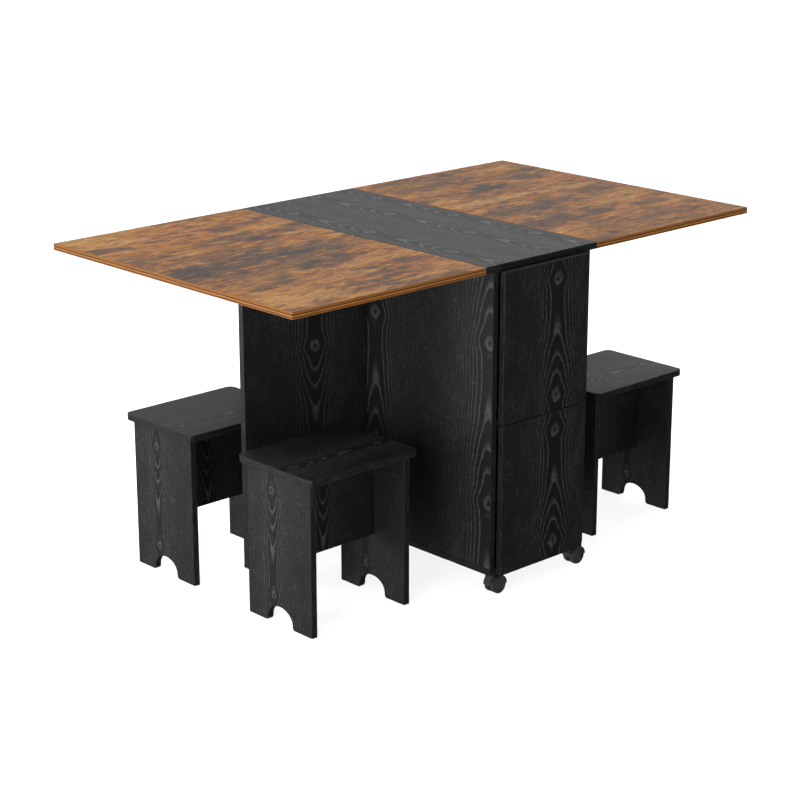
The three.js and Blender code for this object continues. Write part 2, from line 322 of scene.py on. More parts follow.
def blackGrainMaterial(name, across, along, columns, period, scale, upwards, tone, lift, paintedVeinLight=1.0):
    # lift picks another part of every noise, and the last argument brightens the veins alone: painted
    # light, which the near seats use to make up for the leaves' shade
    facts = blackGrain
    desk = PaintDesk(name)
    axes = desk.axes("Object")
    mask = blackGrainMask(desk, axes[across], axes[along], columns, period, scale, upwards, lift)
    black = tuple(c * tone for c in facts["black"])
    vein = tuple(c * tone * paintedVeinLight for c in facts["vein"])
    colour = desk.mix(mask, (*black, 1), (*vein, 1))
    rough = desk.spread(mask, 0.0, 1.0, facts["roughBlack"], facts["roughVein"], False)
    return desk.finish(colour, rough, mask, facts["bumpDepth"], facts["specular"])


# rustic brown: weathered brown boards with charcoal smudges and ochre patches
rusticBrown = {
    "tan": (0.375, 0.157, 0.027, 1),
    "brown": (0.118, 0.046, 0.014, 1),
    "orange": (0.300, 0.088, 0.010, 1),
    "umber": (0.044, 0.026, 0.020, 1),
    "ochre": (0.500, 0.262, 0.066, 1),
    "charcoal": (0.009, 0.016, 0.025, 1),
    "tones": [(0.385, "umber"), (0.445, "brown"), (0.492, "orange"), (0.56, "tan"), (0.66, "ochre")],
    "clouds": (0.45, 0.55),  # shares of the broad and of the fine clouds
    "broadPace": (10.0, 4.0),  # turns per metre, across and along the grain
    "finePace": (55.0, 13.0),
    "raggedPace": (34.0, 16.0),
    "ragged": 3.6,
    "fringePace": (170.0, 70.0),
    "fringe": 1.3,
    "streakPace": (190.0, 14.0),
    "shinePace": (300.0, 18.0),
    "hairPace": (360.0, 24.0),
    "stainFade": (0.62, 1.22),  # a spot fades between these shares of its size
    "specular": 0.15,
    "rough": (0.42, 0.58),
    "bumpDepth": 0.00008,
}


def stains(desk, u, v, ragged, spots):
    # the strongest of many soft ragged spots: (x, y, half length, half width, strength)
    place = desk.place(v, u)
    stain = 0.0
    for x, y, halfLength, halfWidth, strength in spots:
        local = desk.add("VectorMath", operation="MULTIPLY_ADD")
        desk.feed(local.inputs[0], place)
        local.inputs[1].default_value = (1 / halfLength, 1 / halfWidth, 0)
        local.inputs[2].default_value = (-x / halfLength, -y / halfWidth, 0)
        length = desk.add("VectorMath", operation="LENGTH")
        desk.feed(length.inputs[0], local.outputs[0])
        far = desk.plus(length.outputs["Value"], ragged)
        stain = desk.most(stain, desk.spread(far, *rusticBrown["stainFade"], strength, 0.0))
    return stain


def rusticBrownMaterial(name, seed, dark, veils, light):
    facts = rusticBrown
    desk = PaintDesk(name)
    axes = desk.axes("Object")
    u, v = axes["Y"], axes["X"]
    broad, fine = facts["clouds"]
    tone = desk.plus(
        desk.times(desk.grain(u, v, facts["broadPace"], seed, 4.0, 0.55), broad),
        desk.times(desk.grain(u, v, facts["finePace"], seed + 5.0, 6.0, 0.68), fine))
    stops = [(place, facts[colour]) for place, colour in facts["tones"]]
    colour = desk.ramp(tone, stops)
    ragged = desk.grain(u, v, facts["raggedPace"], seed + 21.0, 6.0, 0.70)
    fringe = desk.grain(u, v, facts["fringePace"], seed + 25.0, 3.0, 0.6)
    ragged = desk.plus(
        desk.times(desk.minus(ragged, 0.5), facts["ragged"]),
        desk.times(desk.minus(fringe, 0.5), facts["fringe"]))
    colour = desk.mix(stains(desk, u, v, ragged, light), colour, facts["ochre"])
    colour = desk.mix(stains(desk, u, v, ragged, veils), colour, facts["umber"])
    # lines along the grain: dark streaks, light ones and dark hairs
    streak = desk.grain(u, v, facts["streakPace"], seed + 9.0, 5.0, 0.70)
    colour = desk.mix(desk.spread(streak, 0.38, 0.52, 0.85, 0.0), colour, facts["umber"])
    shine = desk.grain(u, v, facts["shinePace"], seed + 15.0, 3.0, 0.6)
    colour = desk.mix(desk.spread(shine, 0.52, 0.68, 0.0, 0.78), colour, facts["ochre"])
    hair = desk.grain(u, v, facts["hairPace"], seed + 13.0, 4.0, 0.65)
    colour = desk.mix(desk.spread(hair, 0.52, 0.62, 0.0, 0.90), colour, facts["umber"])
    stain = desk.times(stains(desk, u, v, ragged, dark), desk.spread(streak, 0.36, 0.58, 1.0, 0.58))
    colour = desk.mix(stain, colour, facts["charcoal"])
    rough = desk.spread(streak, 0.3, 0.7, *facts["rough"], False)
    return desk.finish(colour, rough, desk.plus(streak, hair), facts["bumpDepth"], facts["specular"])


# the leaves' edge band shows stripes: a share of its height, and the tone there
leafEdge = {
    "low": 0.732,
    "thickness": 0.015,
    "stripes": [
        (0.0, 0.62), (0.12, 0.66), (0.17, 0.08), (0.25, 0.10), (0.30, 0.68), (0.50, 0.88), (0.55, 0.10),
        (0.66, 0.12), (0.72, 0.62), (1.0, 0.50)],
    "bright": (0.42, 0.152, 0.018),
    "deep": (0.062, 0.022, 0.008, 1),
    "swayPace": (5.0, 60.0),  # along the band and up it
    "sway": 0.16,
    "streakPace": (13.0, 1100.0),
    "rough": (0.38, 0.55),
    "specular": 0.2,
    "bumpDepth": 0.00006,
}


def brownEdgeMaterial(name, along, seed):
    facts = leafEdge
    desk = PaintDesk(name)
    axes = desk.axes("Object")
    v, z = axes[along], axes["Z"]
    sway = desk.grain(v, z, facts["swayPace"], seed)
    height = desk.math("DIVIDE", desk.minus(z, facts["low"]), facts["thickness"])
    height = desk.plus(height, desk.times(desk.minus(sway, 0.5), facts["sway"]))
    stops = [(share, tuple(c * tone for c in facts["bright"])) for share, tone in facts["stripes"]]
    colour = desk.ramp(height, stops)
    streak = desk.grain(v, z, facts["streakPace"], seed + 4, 3.0)
    colour = desk.mix(desk.spread(streak, 0.50, 0.70, 0.0, 0.6), colour, facts["deep"])
    rough = desk.spread(streak, 0.3, 0.7, *facts["rough"], False)
    return desk.finish(colour, rough, streak, facts["bumpDepth"], facts["specular"])


# the black boards' edge band, with a faint grain along it
blackEdge = {
    "black": (0.0055, 0.0056, 0.006, 1),
    "fibre": (0.028, 0.0285, 0.030, 1),
    "across": 700.0,
    "along": 30.0,
    "rough": (0.36, 0.5),
    "specular": 0.3,
    "bumpDepth": 0.00004,
}


def blackEdgeMaterial(name, along):
    facts = blackEdge
    desk = PaintDesk(name)
    axes = desk.axes("Object")
    first, second = [desk.times(axes[a], facts["across"]) for a in "XYZ" if a != along]
    fibre = desk.noise(first, second, desk.times(axes[along], facts["along"]), 3.0, 0.6)
    colour = desk.mix(desk.spread(fibre, 0.4, 0.72), facts["black"], facts["fibre"])
    rough = desk.spread(fibre, 0.3, 0.7, *facts["rough"], False)
    return desk.finish(colour, rough, fibre, facts["bumpDepth"], facts["specular"])


# metal and moulded plastic: cloudy in the large, pebbled or brushed in the small
plainMaterials = {
    "hingeSteel": {
        "low": (0.46, 0.46, 0.44, 1), "high": (0.64, 0.64, 0.63, 1), "pace": 900.0,
        "rough": (0.24, 0.42), "depth": 0.00003, "specular": 0.5, "metallic": 1.0},
    "screwSteel": {
        "low": (0.36, 0.35, 0.32, 1), "high": (0.52, 0.51, 0.48, 1), "pace": 1400.0,
        "rough": (0.26, 0.40), "depth": 0.00003, "specular": 0.5, "metallic": 1.0},
    "hoodPlastic": {
        "low": (0.018, 0.018, 0.019, 1), "high": (0.032, 0.032, 0.034, 1), "pace": 900.0,
        "rough": (0.20, 0.32), "depth": 0.00004, "specular": 0.5, "metallic": 0.0},
    "wheelPlastic": {
        "low": (0.024, 0.024, 0.025, 1), "high": (0.046, 0.046, 0.048, 1), "pace": 700.0,
        "rough": (0.24, 0.40), "depth": 0.00004, "specular": 0.5, "metallic": 0.0},
}
cloudPace = 90.0


def plainMaterial(name):
    facts = plainMaterials[name]
    desk = PaintDesk(name)
    places = list(desk.axes("Object"))
    cloudy = desk.noise(*(desk.times(place, cloudPace) for place in places))
    pebble = desk.noise(*(desk.times(place, facts["pace"]) for place in places), 3.0, 0.6)
    colour = desk.mix(desk.spread(desk.plus(cloudy, pebble), 0.8, 1.2), facts["low"], facts["high"])
    rough = desk.spread(pebble, 0.3, 0.7, *facts["rough"], False)
    return desk.finish(colour, rough, pebble, facts["depth"], facts["specular"], facts["metallic"])


hingeSteel, screwSteel, hoodPlastic, wheelPlastic = [plainMaterial(name) for name in plainMaterials]
blackEdges = [blackEdgeMaterial("edgeBlack" + axis, axis) for axis in "XYZ"]
print("shared materials made")


def finishPiece(name, mesh, node, materials):
    bmesh.ops.recalc_face_normals(mesh, faces=mesh.faces)
    piece = bpy.data.objects.new(name, bpy.data.meshes.new(name))
    mesh.to_mesh(piece.data)
    mesh.free()
    for material in materials:
        piece.data.materials.append(material)
    scene.collection.objects.link(piece)
    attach(piece, bodyOfNode[node])
    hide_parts(node)
    return piece


# the arrises of every board are rounded by this much, in metres, so that they catch the light
board = {"arris": 0.0007, "arrisSteps": 2}
# a face belongs to an axis when its normal points along it by more than this share
flatLimit = 0.99


def sortBoardFaces(mesh, thickness):
    # 0 is the printed face, 1 to 3 are edge bands that run along X, Y and Z
    for face in mesh.faces:
        normal = face.normal
        straight = max(abs(c) for c in normal)
        if abs(normal[thickness]) > flatLimit:
            face.material_index = 0
        elif straight > flatLimit:
            across = max(range(3), key=lambda i: abs(normal[i]))
            face.material_index = 1 + next(i for i in range(3) if i not in (across, thickness))
        else:
            edge = max(face.edges, key=lambda e: e.calc_length())
            run = edge.verts[1].co - edge.verts[0].co
            face.material_index = 1 + max(range(3), key=lambda i: abs(run[i]))
            face.smooth = True


def roundArrises(mesh, amount, steps, angle=50):
    sharp = [
        e for e in mesh.edges if len(e.link_faces) == 2 and e.calc_face_angle() > math.radians(angle)]
    bmesh.ops.bevel(
        mesh, geom=sharp, offset=amount, offset_type="OFFSET", affect="EDGES", segments=steps,
        profile=0.5, material=-1, clamp_overlap=True)


def thinnest(node):
    low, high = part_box(node)
    return low, high, min(range(3), key=lambda i: (high - low)[i])


def makeBoard(node, face, edges, slot="black_grain"):
    low, high, thickness = thinnest(node)
    mesh = bmesh.new()
    bmesh.ops.create_cube(mesh, size=1.0)
    bmesh.ops.scale(mesh, vec=high - low, verts=mesh.verts)
    bmesh.ops.translate(mesh, vec=(low + high) / 2, verts=mesh.verts)
    roundArrises(mesh, board["arris"], board["arrisSteps"])
    sortBoardFaces(mesh, thickness)
    return finishPiece(node + "_board", mesh, node, [face, *edges])


def copyBoard(node, face, edges, slot="black_grain"):
    # a board with a shaped outline: the solid's own mesh, merged, with its arrises rounded
    mesh = bmesh.new()
    mesh.from_mesh(frame["nodes"][node].data)
    bmesh.ops.remove_doubles(mesh, verts=mesh.verts, dist=1e-6)
    bmesh.ops.dissolve_limit(mesh, angle_limit=math.radians(1), verts=mesh.verts, edges=mesh.edges)
    roundArrises(mesh, board["arris"], board["arrisSteps"])
    sortBoardFaces(mesh, thinnest(node)[2])
    return finishPiece(node + "_board", mesh, node, [face, *edges])


# where the print runs on each board: the axis across it, the axis along it, its columns as
# (place across, place of a knot along), its period, its scale, whether the arches point up, its tone
boardPrint = {
    "top_strip": ("X", "Y", [(-0.123, 0.273), (0.037, 0.380), (0.138, 0.273)], 0.260, 1.0, True, 1.0),
    "side_panel_left": (
        "Y", "Z", [(-0.035, 0.577), (-0.3915, 0.577), (0.3215, 0.577)], 0.3575, 1.07, True, 1.0),
    "side_panel_right": (
        "Y", "Z", [(0.035, 0.577), (0.3915, 0.577), (-0.3215, 0.577)], 0.3575, 1.07, True, 1.0),
    "cross_panel": ("X", "Z", [(0.04, 0.21)], 0.260, 1.0, False, 1.0),
    "floor_panel": ("X", "Y", [(0.02, 0.11)], 0.260, 1.0, True, 1.0),
    "shelf_near": ("X", "Y", [(-0.03, -0.18)], 0.260, 1.0, True, 1.0),
    "shelf_far": ("X", "Y", [(0.03, 0.18)], 0.260, 1.0, False, 1.0),
    "door_near_upper": ("X", "Z", [(0.033, 0.431)], 0.261, 1.0, True, 0.72),
    "door_near_lower": ("X", "Z", [(0.033, 0.352)], 0.261, 1.0, True, 0.72),
    "door_far_upper": ("X", "Z", [(-0.033, 0.431)], 0.261, 1.0, True, 0.72),
    "door_far_lower": ("X", "Z", [(-0.033, 0.352)], 0.261, 1.0, True, 0.72),
    "gate_left": ("X", "Z", [(-0.305, 0.5235)], 0.260, 1.0, False, 1.0),
    "gate_right": ("X", "Z", [(0.305, 0.5235)], 0.260, 1.0, False, 1.0),
}
liftStep = 3.1
for number, (node, facts) in enumerate(boardPrint.items()):
    face = blackGrainMaterial("grain_" + node, *facts, number * liftStep)
    make = copyBoard if node.startswith("gate") else makeBoard
    make(node, face, blackEdges)
print("cabinet boards made")

# stools: places are from the stool's middle
stoolPrint = {
    "period": 0.234,
    "scale": 0.64,
    "legColumn": 0.0208,
    "apronColumn": -0.022,
    "apronTone": 0.85,
    "knot": 0.297,  # height of a knot on legs and apron
    "seatColumn": {"near": -0.0257, "far": -0.044},
    "seatKnot": -0.117,
    # the near seats lie in the leaves' shade, so their print is brightened, the veins most: painted
    # light
    "seatPaintedLight": {"near": 1.05, "far": 1.0},
    "seatPaintedVeinLight": {"near": 2.2, "far": 1.0},
}
for end in ("near", "far"):
    for side in ("left", "right"):
        stool = f"stool_{end}_{side}"
        low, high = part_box(stool + "_seat")
        middle = (low + high) / 2
        shift = 50 + 9 * len(stool) + middle.x * 7
        period, scale, knot = (stoolPrint[key] for key in ("period", "scale", "knot"))
        column = (middle.y + stoolPrint["legColumn"], knot)
        legFace = blackGrainMaterial(
            "grain_leg_" + stool, "Y", "Z", [column], period, scale, False, 1.0, shift)
        column = (middle.x + stoolPrint["apronColumn"], knot)
        apronFace = blackGrainMaterial(
            "grain_apron_" + stool, "X", "Z", [column], period, scale, False, stoolPrint["apronTone"],
            shift + 1)
        column = (middle.y + stoolPrint["seatColumn"][end], middle.x + stoolPrint["seatKnot"])
        seatFace = blackGrainMaterial(
            "grain_seat_" + stool, "Y", "X", [column], period, scale, True, stoolPrint["seatPaintedLight"][end],
            shift + 2, stoolPrint["seatPaintedVeinLight"][end])
        copyBoard(stool + "_seat", seatFace, blackEdges)
        copyBoard(stool + "_leg_left", legFace, blackEdges)
        copyBoard(stool + "_leg_right", legFace, blackEdges)
        makeBoard(stool + "_apron", apronFace, blackEdges)
print("stools made")

# leaves: spots as (x, y, half length, half width, strength)
leafSpots = {
    "left": {
        "dark": [
            (-0.307, 0.352, 0.016, 0.013, 0.85), (-0.385, 0.327, 0.016, 0.011, 0.8),
            (-0.451, 0.301, 0.014, 0.008, 0.6), (-0.212, 0.290, 0.022, 0.016, 0.8),
            (-0.650, 0.257, 0.060, 0.020, 0.8), (-0.525, 0.257, 0.030, 0.018, 0.8),
            (-0.433, 0.267, 0.012, 0.009, 0.7), (-0.353, 0.257, 0.055, 0.026, 0.95),
            (-0.273, 0.270, 0.045, 0.020, 0.75), (-0.353, 0.187, 0.040, 0.013, 0.75),
            (-0.381, 0.167, 0.018, 0.015, 0.7), (-0.407, 0.140, 0.032, 0.010, 0.65),
            (-0.337, 0.130, 0.048, 0.018, 0.9), (-0.257, 0.160, 0.038, 0.018, 0.75),
            (-0.597, 0.127, 0.028, 0.015, 0.6), (-0.380, -0.027, 0.090, 0.018, 0.75),
            (-0.640, -0.020, 0.075, 0.042, 0.75), (-0.413, -0.140, 0.045, 0.034, 0.95),
            (-0.327, -0.130, 0.070, 0.026, 0.8), (-0.267, -0.123, 0.012, 0.012, 0.7),
            (-0.203, -0.137, 0.012, 0.011, 0.7), (-0.219, -0.048, 0.014, 0.011, 0.7),
            (-0.543, -0.177, 0.022, 0.011, 0.6), (-0.620, -0.227, 0.042, 0.012, 0.8),
            (-0.383, -0.227, 0.015, 0.010, 0.6), (-0.233, -0.233, 0.042, 0.028, 0.8),
            (-0.320, -0.310, 0.038, 0.013, 0.55), (-0.415, -0.327, 0.008, 0.006, 0.7),
            (-0.415, -0.360, 0.008, 0.006, 0.7), (-0.460, -0.313, 0.018, 0.030, 0.6),
            (-0.493, -0.283, 0.050, 0.009, 0.55),
        ],
        "veils": [
            (-0.470, -0.010, 0.280, 0.062, 0.88), (-0.480, -0.110, 0.180, 0.055, 0.60),
            (-0.300, -0.390, 0.120, 0.020, 0.6), (-0.650, 0.160, 0.060, 0.050, 0.35),
            (-0.480, 0.070, 0.200, 0.034, 0.50), (-0.380, 0.160, 0.110, 0.050, 0.5),
            (-0.560, -0.190, 0.110, 0.050, 0.4), (-0.250, 0.380, 0.090, 0.025, 0.35),
            (-0.340, -0.020, 0.150, 0.060, 0.7), (-0.620, -0.030, 0.090, 0.060, 0.6),
        ],
        "light": [
            (-0.613, 0.300, 0.080, 0.026, 0.6), (-0.640, 0.370, 0.060, 0.030, 0.45),
            (-0.567, 0.113, 0.060, 0.010, 0.6), (-0.240, 0.127, 0.060, 0.010, 0.6),
            (-0.620, -0.330, 0.110, 0.050, 0.65), (-0.320, -0.190, 0.110, 0.018, 0.55),
            (-0.420, -0.250, 0.090, 0.020, 0.45), (-0.280, -0.360, 0.110, 0.010, 0.5),
            (-0.480, -0.390, 0.060, 0.016, 0.45), (-0.250, 0.220, 0.080, 0.018, 0.45),
            (-0.540, 0.380, 0.110, 0.016, 0.35),
        ],
    },
    "right": {
        "dark": [
            (0.272, 0.367, 0.045, 0.023, 0.6), (0.419, 0.177, 0.065, 0.030, 0.9),
            (0.392, 0.107, 0.028, 0.014, 0.65), (0.335, 0.140, 0.013, 0.011, 0.6),
            (0.599, 0.210, 0.068, 0.028, 0.9), (0.652, 0.270, 0.026, 0.018, 0.6),
            (0.412, -0.007, 0.022, 0.009, 0.7), (0.662, 0.007, 0.012, 0.028, 0.6),
            (0.439, -0.187, 0.052, 0.018, 0.9), (0.599, -0.203, 0.072, 0.025, 0.9),
            (0.285, -0.187, 0.075, 0.047, 0.75), (0.199, -0.200, 0.033, 0.030, 0.75),
            (0.492, -0.313, 0.026, 0.013, 0.6), (0.275, -0.350, 0.016, 0.010, 0.6),
            (0.639, -0.380, 0.055, 0.014, 0.55), (0.655, -0.267, 0.024, 0.018, 0.45),
            (0.352, -0.047, 0.160, 0.042, 0.55), (0.612, -0.013, 0.055, 0.034, 0.55),
        ],
        "veils": [
            (0.350, 0.300, 0.190, 0.060, 0.5), (0.300, -0.060, 0.170, 0.050, 0.6),
            (0.560, -0.040, 0.140, 0.040, 0.4), (0.300, -0.180, 0.160, 0.060, 0.5),
            (0.450, -0.300, 0.200, 0.050, 0.4), (0.600, 0.240, 0.110, 0.040, 0.4),
            (0.250, -0.380, 0.080, 0.020, 0.5), (0.420, 0.150, 0.140, 0.050, 0.5),
            (0.320, 0.360, 0.100, 0.030, 0.5),
        ],
        "light": [
            (0.320, 0.062, 0.160, 0.022, 0.75), (0.560, 0.050, 0.130, 0.020, 0.5),
            (0.409, -0.112, 0.012, 0.008, 0.9), (0.600, 0.330, 0.090, 0.024, 0.45),
            (0.500, -0.130, 0.140, 0.018, 0.35), (0.230, 0.130, 0.060, 0.020, 0.5),
            (0.560, -0.090, 0.110, 0.014, 0.35), (0.230, -0.260, 0.060, 0.020, 0.35),
        ],
    },
}
for side, seed in (("left", 3.0), ("right", 11.0)):
    face = rusticBrownMaterial("brown_leaf_" + side, seed, **leafSpots[side])
    edges = [brownEdgeMaterial(f"brown_edge_{side}_{axis}", axis, seed) for axis in "XYZ"]
    makeBoard("leaf_" + side, face, edges, "rustic_brown")
print("leaves made")

# hinges: two plates with interlocking knuckles on one pin, drawn with the pin on Z, the plate
# along X and its mounting face looking along Y. Lengths in metres
hingeKinds = {
    "leaf": {
        "length": 0.6, "width": 0.018, "thickness": 0.0012, "knuckles": 11, "radius": 0.0025,
        "pin": 0.0011, "gap": 0.0004, "screw": 0.0028, "screwPlace": 0.0108, "opening": math.pi},
    "gate": {
        "length": 0.6, "width": 0.024, "thickness": 0.0012, "knuckles": 11, "radius": 0.0025,
        "pin": 0.0011, "gap": 0.0004, "screw": 0.0030, "screwPlace": 0.0140, "opening": math.pi / 2},
    "door": {
        "length": 0.27, "width": 0.012, "thickness": 0.0009, "knuckles": 7, "radius": 0.0017,
        "pin": 0.0007, "gap": 0.0004, "screw": 0.0020, "screwPlace": 0.0072, "opening": math.pi / 2},
}
hingeShape = {
    "arris": 0.0002,
    "knuckleSteps": 28,
    "pinPlay": 0.00005,
    "pinChamfer": 0.0003,
    "pinSteps": 20,
    "screwSteps": 24,
    # a raised head with a round drive, as (share of its radius, height)
    "screwHead": [
        (0, 0.0001), (0.32, 0.0001), (0.40, 0.00042), (0.62, 0.00040), (0.88, 0.00024), (1, 0),
        (1, -0.0001)],
}
# name: kind, the pin's middle, the way the fixed plate reaches, the way its mounting face looks
hingePlaces = {
    "leaf_hinge_left": ("leaf", (-0.171, 0, 0.7293), (1, 0, 0), (0, 0, 1)),
    "leaf_hinge_right": ("leaf", (0.171, 0, 0.7293), (-1, 0, 0), (0, 0, 1)),
    "gate_hinge_left": ("gate", (-0.1527, 0.0102, 0.38905), (0, 1, 0), (1, 0, 0)),
    "gate_hinge_right": ("gate", (0.1527, 0.0102, 0.38905), (0, 1, 0), (-1, 0, 0)),
    "door_hinge_near_lower": ("door", (0.1331, -0.3986, 0.2295), (0, 1, 0), (1, 0, 0)),
    "door_hinge_near_upper": ("door", (0.1331, -0.3986, 0.5695), (0, 1, 0), (1, 0, 0)),
    "door_hinge_far_lower": ("door", (-0.1331, 0.3986, 0.2295), (0, -1, 0), (-1, 0, 0)),
    "door_hinge_far_upper": ("door", (-0.1331, 0.3986, 0.5695), (0, -1, 0), (-1, 0, 0)),
}


def revolve(mesh, profile, place, steps, material, closed=False, sweep=math.tau):
    # turns an outline of (radius, along) about its own Z axis, then puts it in its place
    oldVerts, oldFaces = set(mesh.verts), set(mesh.faces)
    points = [mesh.verts.new((radius, 0, along)) for radius, along in profile]
    pairs = list(zip(points, points[1:] + points[:1]))
    edges = [mesh.edges.new(pair) for pair in (pairs if closed else pairs[:-1])]
    full = sweep == math.tau
    bmesh.ops.spin(
        mesh, geom=points + edges, cent=(0, 0, 0), axis=(0, 0, 1), dvec=(0, 0, 0), angle=sweep,
        steps=steps, use_merge=full, use_duplicate=False)
    made = [v for v in mesh.verts if v not in oldVerts]
    bmesh.ops.remove_doubles(mesh, verts=made, dist=1e-7)
    if not full:
        rims = [e for e in mesh.edges if e.is_boundary and e.verts[0] not in oldVerts]
        bmesh.ops.holes_fill(mesh, edges=rims, sides=0)
    made = [v for v in mesh.verts if v not in oldVerts]
    bmesh.ops.transform(mesh, matrix=place, verts=made)
    for face in mesh.faces:
        if face not in oldFaces:
            face.material_index = material
            face.smooth = True


def rod(radius, low, high, chamfer, bore=0.0):
    # outline of a round bar, or of a tube when it has a bore
    return [
        (bore, low), (radius - chamfer, low), (radius, low + chamfer),
        (radius, high - chamfer), (radius - chamfer, high), (bore, high)]


def creaseEdges(mesh, angle=35):
    for edge in mesh.edges:
        if len(edge.link_faces) == 2 and edge.calc_face_angle() > math.radians(angle):
            edge.smooth = False


def hingePlate(facts, spans):
    # its edge reaches the pin at its own knuckles and stops short of the other half's
    width, length, thickness = (facts[key] for key in ("width", "length", "thickness"))
    notch = facts["radius"] + facts["gap"]
    mesh = bmesh.new()
    bmesh.ops.create_cube(mesh, size=1.0)
    bmesh.ops.scale(mesh, vec=(width - notch, thickness, length), verts=mesh.verts)
    bmesh.ops.translate(
        mesh, vec=((width + notch) / 2, facts["radius"] - thickness / 2, 0), verts=mesh.verts)
    for cut in [z for span in spans for z in span if abs(z) < length / 2 - facts["gap"]]:
        bmesh.ops.bisect_plane(
            mesh, geom=mesh.verts[:] + mesh.edges[:] + mesh.faces[:],
            plane_co=(0, 0, cut), plane_no=(0, 0, 1))
    mesh.normal_update()
    tabs = [f for f in mesh.faces if f.normal.x < -0.5 and any(
        low < f.calc_center_median().z < high for low, high in spans)]
    grown = bmesh.ops.extrude_face_region(mesh, geom=tabs)["geom"]
    bmesh.ops.translate(
        mesh, vec=(-notch, 0, 0), verts=[v for v in grown if isinstance(v, bmesh.types.BMVert)])
    bmesh.ops.dissolve_limit(mesh, angle_limit=math.radians(1), verts=mesh.verts, edges=mesh.edges)
    roundArrises(mesh, hingeShape["arris"], 2)
    return mesh


def hingeHalf(kind, fixed):
    facts, shape = hingeKinds[kind], hingeShape
    radius, gap, length = (facts[key] for key in ("radius", "gap", "length"))
    pitch = length / facts["knuckles"]
    spans = [
        (i * pitch - length / 2 + gap / 2, (i + 1) * pitch - length / 2 - gap / 2)
        for i in range(facts["knuckles"]) if (i % 2 == 0) == fixed]
    mesh = hingePlate(facts, spans)
    back = radius - facts["thickness"]
    here = Matrix.Identity(4)
    bore = facts["pin"] + shape["pinPlay"]
    head = [(share * facts["screw"], height) for share, height in shape["screwHead"]]
    for low, high in spans:
        knuckle = rod(radius, low, high, shape["arris"], bore)
        revolve(mesh, knuckle, here, shape["knuckleSteps"], 0, closed=True)
        spot = Matrix.Translation((facts["screwPlace"], back, (low + high) / 2))
        revolve(mesh, head, spot @ Matrix.Rotation(math.pi / 2, 4, "X"), shape["screwSteps"], 1)
    if fixed:
        reach = length / 2 - gap
        pin = rod(facts["pin"], -reach, reach, shape["pinChamfer"])
        revolve(mesh, pin, here, shape["pinSteps"], 1)
    creaseEdges(mesh)
    return mesh


for name, (kind, pivot, along, facing) in hingePlaces.items():
    x, y = Vector(along), Vector(facing)
    basis = Matrix((x, y, x.cross(y))).transposed().to_4x4()
    place = Matrix.Translation(pivot) @ basis
    opening = hingeKinds[kind]["opening"]
    turn = Matrix.Rotation(-opening, 4, "Z") @ Matrix.Rotation(math.pi, 4, "X")
    for word, fixed in (("fixed", True), ("moving", False)):
        mesh = hingeHalf(kind, fixed)
        bmesh.ops.transform(mesh, matrix=place if fixed else place @ turn, verts=mesh.verts)
        node = f"{name}_{word}"
        finishPiece(node + "_steel", mesh, node, [hingeSteel, screwSteel])
print("hinges made")

# casters, drawn with the swivel axis at the origin and the floor at zero
caster = {
    "trail": 0.016,
    "wheel": 0.020,
    "width": 0.015,  # half the pair's width
    "hood": (0.0209, 0.0224),
    "hoodLip": 0.0004,
    "web": 0.0025,  # half the thickness of the plate between the wheels
    "webInner": 0.0066,
    "webOverlap": 0.0005,
    "hub": 0.007,
    "hubChamfer": 0.0003,
    "hole": 0.00335,
    "collar": 0.011,
    "collarLow": 0.0316,
    "collarRim": 0.0012,
    "top": 0.0516,
    "steps": 48,
    "stemSteps": 24,
    # the stem as (radius, height), with the groove of its snap ring
    "stem": [
        (0, 0.0506), (0.004, 0.0506), (0.004, 0.0585), (0.0036, 0.0589), (0.0036, 0.0605),
        (0.004, 0.0609), (0.004, 0.0632), (0.0032, 0.064), (0, 0.064)],
    # one wheel as (radius, distance from the middle): tread, grooved face and cap
    "wheelOutline": [
        (0.003, 0.0035), (0.0188, 0.0035), (0.0197, 0.0039), (0.020, 0.0047), (0.020, 0.0130),
        (0.0197, 0.0138), (0.0188, 0.0142), (0.0178, 0.0142), (0.0175, 0.0137), (0.0169, 0.0137),
        (0.0166, 0.0143), (0.0118, 0.0146), (0.0115, 0.0142), (0.0110, 0.0142), (0.0107, 0.0147),
        (0.0083, 0.0147), (0.0080, 0.0150), (0.0046, 0.0150), (0.0042, 0.0147), (0, 0.0147)],
}
axle = Matrix.Translation((caster["trail"], 0, caster["wheel"])) @ Matrix.Rotation(-math.pi / 2, 4, "X")


